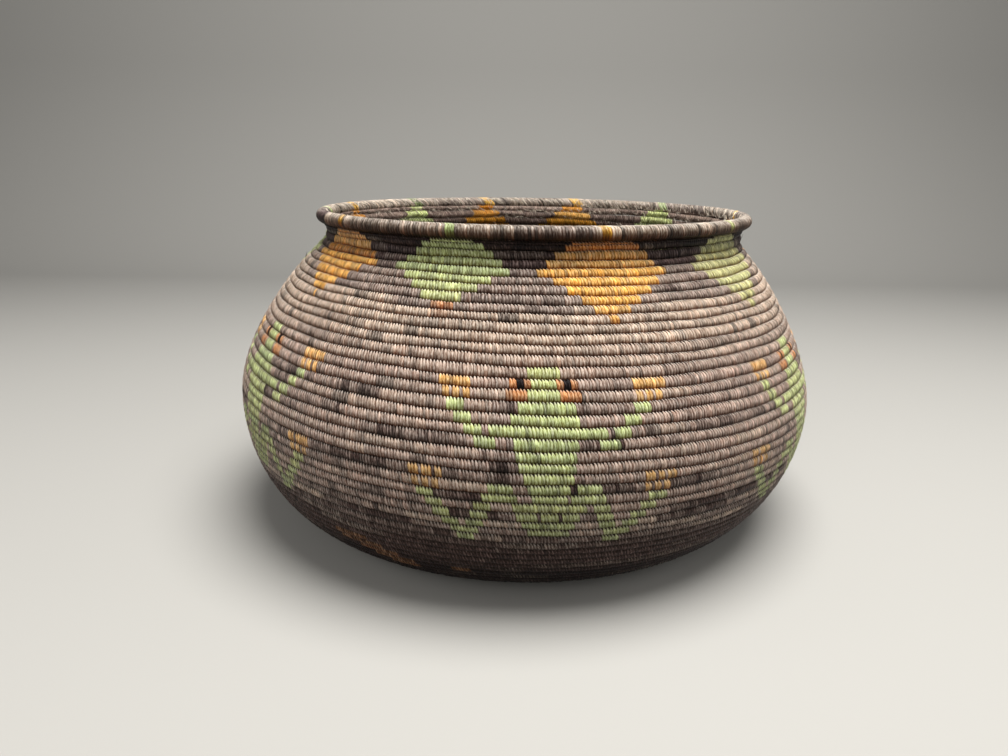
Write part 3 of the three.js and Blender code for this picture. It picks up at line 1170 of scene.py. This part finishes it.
class AddBase(bpy.types.Operator):
    """Sew the stitches of the base"""
    bl_idname = "basket.add_base"
    bl_label = "Add base stitches"

    def execute(self, context):
        settings = context.scene.basket
        stitches = settings.stitches
        wall = Wall(settings)
        rng = np.random.default_rng(stitches.seed + 1)
        turns = stitched_turns(wall, 0, settings.coil.base_rounds, stitches.base_width)
        dye = dyes_of(settings, turns, rng)
        places = coil_places(wall, stitches, turns, wall.edge(turns), wall.edge(turns + 1),
                             stitches.base_width)
        places.update(tone=rng.random(len(turns)), dye=dye)
        inner = len(turns) * 2 // 3
        for name, chosen in (("base_stitches_inner", slice(0, inner)),
                             ("base_stitches_outer", slice(inner, None))):
            part = {key: values[chosen] for key, values in places.items()}
            piece = sew(name, part, shared_strip(stitches),
                        (stitches.lean_spread, stitches.size_spread), stitches.seed + 11,
                        shared_fibre())
            lay_out_strips(piece, len(part["centre"]))
            add_piece(piece, ["base_coil"])
        return {"FINISHED"}


class AddWall(bpy.types.Operator):
    """Sew the stitches of the wall, with its diamonds and frogs"""
    bl_idname = "basket.add_wall"
    bl_label = "Add wall stitches"

    ROUNDS_A_PIECE = 5
    FIRST_SHOULDER_ROUND = 41
    # How much of the last round has no stitches, where the coil runs out under the rim.
    LEFT_FREE = 0.12

    def execute(self, context):
        settings = context.scene.basket
        stitches = settings.stitches
        wall = Wall(settings)
        first = settings.coil.base_rounds
        rng = np.random.default_rng(stitches.seed + 2)
        last = wall.rounds - self.LEFT_FREE
        turns = stitched_turns(wall, first, last, stitches.wall_width)
        dye = dyes_of(settings, turns, rng)
        places = coil_places(wall, stitches, turns, wall.edge(turns), wall.edge(turns + 1),
                             stitches.wall_width)
        places.update(tone=rng.random(len(turns)), dye=dye)
        number = np.floor(turns).astype(int) - first + 1
        for start in range(1, settings.coil.wall_rounds + 1, self.ROUNDS_A_PIECE):
            stop = min(start + self.ROUNDS_A_PIECE - 1, settings.coil.wall_rounds)
            chosen = (number >= start) & (number <= stop)
            part = {key: values[chosen] for key, values in places.items()}
            piece = sew(f"wall_stitches_{start:02d}_{stop:02d}", part, shared_strip(stitches),
                        (stitches.lean_spread, stitches.size_spread), stitches.seed + 20 + start,
                        shared_fibre())
            lay_out_strips(piece, len(part["centre"]))
            nodes = [f"wall_round_{n:02d}" for n in range(start, stop + 1)]
            add_piece(piece, nodes)
        return {"FINISHED"}


class AddRim(bpy.types.Operator):
    """Wrap the rolled rim"""
    bl_idname = "basket.add_rim"
    bl_label = "Add rim"

    # The coloured wraps over each diamond: half width in degrees, how much wider that is at the
    # back, and how much plum is in their dye.
    TIP_HALF_WIDTH = 0.95
    BACK_TIP = 1.8
    TIP_PLUM = 0.22
    # The wraps are a little cooler than the stitches, and differ more from each other.
    TINT = (0.94, 1.03, 1.07)
    CONTRAST = 1.9

    def execute(self, context):
        settings = context.scene.basket
        stitches, coil = settings.stitches, settings.coil
        wall = Wall(settings)
        rng = np.random.default_rng(stitches.seed + 3)
        _, _, run, rise = wall.side(wall.length)
        reach = coil.rim_gap + coil.rim_thickness / 2
        radius = wall.lip_radius - rise * coil.thickness / 2 + run * reach
        height = wall.lip_height + run * coil.thickness / 2 + rise * reach
        count = round(2 * math.pi * radius / stitches.rim_width)
        azimuth = 2 * math.pi * np.arange(count) / count
        level = np.zeros(count)
        out = np.stack([np.cos(azimuth), np.sin(azimuth), level], 1)
        thick = coil.rim_thickness * stitches.rim_cover
        places = {
            "centre": out * radius + (wall.shift(wall.lip_height), 0, height),
            "up": np.tile((0.0, 0.0, 1.0), (count, 1)),
            "ahead": np.stack([-np.sin(azimuth), np.cos(azimuth), level], 1),
            "size": np.tile((stitches.rim_width * stitches.cover, thick, thick), (count, 1)),
            "tone": rng.random(count),
            "dye": self.dyes(settings.dyes, np.degrees(azimuth), rng),
        }
        # The rim's wraps get a broad painted shade over their lower half, and over their top a strong
        # pale stretch that is partly wear and partly painted highlight.
        piece = sew("rim_wraps", places, wrap_mesh("rim_wrap", stitches), (0.03, 0.015),
                    stitches.seed + 90, fibre_material("Rim strip", (0.3, 0.75, 2.2), (0.42, 0.08)))
        lay_out_strips(piece, count)
        add_piece(piece, ["rim_roll"])
        return {"FINISHED"}

    def dyes(self, dyes, azimuth, rng):
        """Colours of the wraps: plain runs, and a coloured tip over each diamond."""
        count = len(azimuth)
        tone = tones_of(count, 5, 34, rng)
        colours = blend(np.tile(dyes.plum, (count, 1)), dyes.beige, 0.5 + 0.25 * tone)
        for middle, _, _, _, name, _ in DIAMONDS:
            wide = self.TIP_HALF_WIDTH * (self.BACK_TIP if 0 < middle < 180 else 1)
            tip = np.abs(around(azimuth, middle)) < wide
            sewn = np.tile(getattr(dyes, name), (count, 1))
            colours[tip] = blend(sewn, dyes.plum, np.full(count, self.TIP_PLUM))[tip]
        return colours * self.TINT * stitch_light(count, rng) ** self.CONTRAST


class AddLooseEnds(bpy.types.Operator):
    """Leave frayed fibre ends inside the mouth, and a few outside"""
    bl_idname = "basket.add_loose_ends"
    bl_label = "Add loose ends"

    # Ends that are tried on the rows and at the rim, the middle and spread in degrees of the place
    # where they crowd, and the share that is kept farthest from it.
    ROW_ENDS = 1100
    RIM_ENDS = 420
    CROWD_MIDDLE = 105
    CROWD_SPREAD = 55
    FEWEST = 0.25
    # Degrees from upright and how much they differ, and the share that slants the other way.
    SLANT = (-48, 10)
    CROSSED = 0.08
    # Least and most lift off the surface, and length in millimetres.
    ROW_LIFT, RIM_LIFT = (0.05, 0.3), (-0.3, 0.1)
    ROW_LENGTH, RIM_LENGTH = (2.5, 6.5), (6, 10)
    # The ends at the rim start higher and stand further in.
    RIM_RISE = 5.5 * MM
    RIM_STAND = 0.24
    # How far the roots are from the coil's middle, by its thickness.
    ROOT_DEPTH = 0.44
    WIDTH, RIM_WIDER = 0.55 * MM, 0.6
    # Ends outside: azimuth and turns of the root, slant in degrees, lift, and length.
    OUTSIDE = (
        (-18.2, 67.6, 4, 1.3, 8 * MM),
        (-171.5, 63.3, 0, 0.5, 4.5 * MM),
        (-62.0, 57.3, 60, 0.4, 5 * MM),
        (-128.0, 52.4, -50, 0.4, 5 * MM),
        (48.0, 61.0, 30, 1.0, 7 * MM),
    )

    def execute(self, context):
        settings = context.scene.basket
        dyes = settings.dyes
        wall = Wall(settings)
        rng = np.random.default_rng(settings.stitches.seed + 4)
        on_row = np.repeat((True, False), (self.ROW_ENDS, self.RIM_ENDS))
        count = len(on_row)
        below = np.where(on_row, 0.05 + rng.exponential(0.9, count) % 5, rng.random(count))
        azimuth = azimuth_at(wall.rounds - below)
        off = around(np.degrees(azimuth), self.CROWD_MIDDLE) / self.CROWD_SPREAD
        crowd = self.FEWEST + (1 - self.FEWEST) * np.exp(-off ** 2)
        kept = rng.random(count) < crowd
        on_row, below, azimuth = on_row[kept], below[kept], azimuth[kept]
        count = len(on_row)
        turns = wall.rounds - np.where(on_row, below, 0)
        slant = np.radians(rng.normal(*self.SLANT, count))
        slant *= np.where(rng.random(count) < self.CROSSED, -1, 1)
        hanging = (rng.random(count) < 0.5) | ~on_row
        slant += math.pi * hanging
        lift = np.where(on_row, rng.uniform(*self.ROW_LIFT, count), rng.uniform(*self.RIM_LIFT, count))
        long = np.where(
            on_row, rng.uniform(*self.ROW_LENGTH, count), rng.uniform(*self.RIM_LENGTH, count)) * MM
        rise = np.where(on_row, 0, self.RIM_RISE)
        dye = blend(dyes_of(settings, turns, rng), dyes.cream, rng.uniform(0.4, 1.2, count))
        light = rng.uniform(0.8, 1.25, (count, 1))

        places = self.places(wall, (azimuth, turns, rise), (slant, lift, long), -1)
        places["dye"] = dye * light
        few = np.array(self.OUTSIDE).T
        outside = self.places(wall, (np.radians(few[0]), few[1], 0), (np.radians(few[2]), *few[3:]), 1)
        outside["dye"] = np.tile(dyes.umber, (len(self.OUTSIDE), 1))
        places = {key: np.concatenate([places[key], outside[key]]) for key in places}
        places["tone"] = rng.random(len(places["dye"]))
        # The loose ends keep the painted shade at their edges, with hardly any painted shade at their
        # foot and no painted highlight.
        bare = fibre_material("Bare fibre", (0, 1, 0), (0.02, 0.9), streaks=0.3)
        piece = sew("loose_ends", places, fibre_mesh("loose_end"), (0.3, 0.2),
                    settings.stitches.seed + 95, bare)
        lay_out_strips(piece, len(places["dye"]))
        add_piece(piece, [])
        return {"FINISHED"}

    def places(self, wall, roots, course, side):
        """Roots just under the stitches, on the inner side (-1) or the outer side (1): azimuth,
        turns, and the rise above them. A course is a slant from upright, a lift off the surface
        and a length."""
        azimuth, turns, rise = roots
        slant, lift, long = course
        thickness = wall.coil.thickness
        along = wall.edge(turns)
        rise = np.reshape(rise, (-1, 1)) * np.ones((len(turns), 1))
        on_rim = rise[:, 0] > 0
        face = thickness * (0.5 - self.ROOT_DEPTH * side + self.RIM_STAND * on_rim)
        root = wall.point(along, face, azimuth)
        out = unit(root - wall.point(along, thickness / 2, azimuth))
        up = unit(root - wall.point(along - MM, face, azimuth))
        ahead = np.cross(up, out)
        grown = unit(up * np.cos(slant)[:, None] + ahead * np.sin(slant)[:, None] + out * lift[:, None])
        width = self.WIDTH * (1 + self.RIM_WIDER * on_rim)
        return {
            "centre": root + up * rise,
            "up": grown,
            "ahead": unit(np.cross(grown, out)),
            "size": np.stack([width, width, long], 1),
        }


class AddStage(bpy.types.Operator):
    """Set up the floor, the lamps and the camera"""
    bl_idname = "basket.add_stage"
    bl_label = "Add stage"

    # Each lamp's name, place and size, and the setting that holds its power.
    LAMPS = (
        ("top_lamp", (0.22, -0.27, 1.5), 1.1, "top_power"),
        ("front_lamp", (-0.5, -1.5, 0.8), 1.0, "front_power"),
        ("left_lamp", (-1.3, -0.2, 0.5), 0.8, "side_power"),
        ("right_lamp", (1.3, -0.2, 0.5), 0.8, "side_power"),
    )
    AIM = (0, 0, 0.1)
    # The floor's half width, where it turns up into the backdrop and in what radius, the
    # backdrop's height, and how far the floor lies under the basket.
    FLOOR_HALF = 4.0
    BACKDROP_AT = 1.6
    BEND = 0.5
    BEND_STEPS = 12
    BACKDROP_HIGH = 3.0
    FLOOR_GAP = 0.2 * MM

    def execute(self, context):
        stage = context.scene.basket.stage
        self.add_floor(stage)
        for name, place, size, power in self.LAMPS:
            self.add_lamp(name, place, size, getattr(stage, power))
        self.add_sky(context, stage)
        self.add_camera(context, stage)
        context.scene.view_settings.view_transform = "Standard"
        return {"FINISHED"}

    def add_floor(self, stage):
        """A floor that bends up into a backdrop."""
        half, bend = self.FLOOR_HALF, self.BEND
        flat_end = self.BACKDROP_AT - bend
        profile = [(-half, 0.0), (flat_end, 0.0)]
        for i in range(1, self.BEND_STEPS + 1):
            turn = math.pi / 2 * i / self.BEND_STEPS
            profile.append((flat_end + bend * math.sin(turn), bend - bend * math.cos(turn)))
        profile.append((self.BACKDROP_AT, self.BACKDROP_HIGH))
        points = [(x, y, z - self.FLOOR_GAP) for y, z in profile for x in (-half, half)]
        faces = [(2 * i, 2 * i + 1, 2 * i + 3, 2 * i + 2) for i in range(len(profile) - 1)]
        floor = mesh_object("floor", points, faces)
        floor.data.materials.append(floor_material(stage.floor, stage.bounce))

    def add_lamp(self, name, place, size, power):
        """A round lamp, aimed at the basket."""
        lamp = bpy.data.lights.new(name, "AREA")
        lamp.shape = "DISK"
        lamp.size = size
        lamp.energy = power
        made = bpy.data.objects.new(name, lamp)
        bpy.context.scene.collection.objects.link(made)
        made.location = place
        aim = Vector(self.AIM) - made.location
        made.rotation_euler = aim.to_track_quat("-Z", "Y").to_euler()

    def add_sky(self, context, stage):
        """Even white light."""
        world = bpy.data.worlds.new("Sky")
        context.scene.world = world
        world.use_nodes = True
        graph = Graph(world.node_tree)
        light = graph.node("ShaderNodeBackground", None,
                           {"Color": (1.0, 1.0, 1.0, 1.0), "Strength": stage.sky})
        graph.node("ShaderNodeOutputWorld", None, {"Surface": graph.out(light)})

    def add_camera(self, context, stage):
        """A camera in front of the basket, turned by its pitch, yaw and roll."""
        camera = bpy.data.cameras.new("camera")
        camera.lens = stage.lens
        camera.sensor_width = 36
        camera.clip_start = 0.01
        made = bpy.data.objects.new("camera", camera)
        context.scene.collection.objects.link(made)
        pitch, yaw, roll = stage.camera_pitch, stage.camera_yaw, stage.camera_roll
        ahead = Vector((math.sin(yaw) * math.cos(pitch), math.cos(yaw) * math.cos(pitch),
                        -math.sin(pitch)))
        right = ahead.cross(Vector((0, 0, 1))).normalized()
        up = right.cross(ahead)
        tip_wear_and_highlight = (math.cos(roll) * right + math.sin(roll) * up,
                  math.cos(roll) * up - math.sin(roll) * right, -ahead)
        turn = Matrix(tip_wear_and_highlight).transposed()
        place = Vector((-stage.camera_aside, -stage.camera_back, stage.camera_height))
        made.matrix_world = Matrix.Translation(place) @ turn.to_4x4()
        context.scene.camera = made


class BasketPanel(bpy.types.Panel):
    """Lists the steps in the order in which they are done"""
    bl_idname = "VIEW3D_PT_basket"
    bl_label = "Coiled Basket"
    bl_space_type = "VIEW_3D"
    bl_region_type = "UI"
    bl_category = "Basket"

    def draw(self, context):
        settings = context.scene.basket
        for step in STEPS:
            self.layout.operator(step.bl_idname)
        for name in ("shape", "coil", "stitches", "dyes", "stage"):
            group = getattr(settings, name)
            box = self.layout.box()
            box.label(text=name.capitalize())
            for key in group.__annotations__:
                box.prop(group, key)


STEPS = (AddStage, AddFoundation, AddKnot, AddBase, AddWall, AddRim, AddLooseEnds)
CLASSES = (
    BasketShape, BasketCoil, BasketStitches, BasketDyes, BasketStage, BasketSettings,
    *STEPS, BasketPanel,
)


def register():
    """Add the classes, and the settings on the scene."""
    for item in CLASSES:
        bpy.utils.register_class(item)
    bpy.types.Scene.basket = PointerProperty(type=BasketSettings)


def unregister():
    """Take them away again."""
    del bpy.types.Scene.basket
    for item in reversed(CLASSES):
        bpy.utils.unregister_class(item)


def main():
    """Build everything."""
    register()
    for step in STEPS:
        group, name = step.bl_idname.split(".")
        getattr(getattr(bpy.ops, group), name)()


if __name__ == "__main__":
    main()
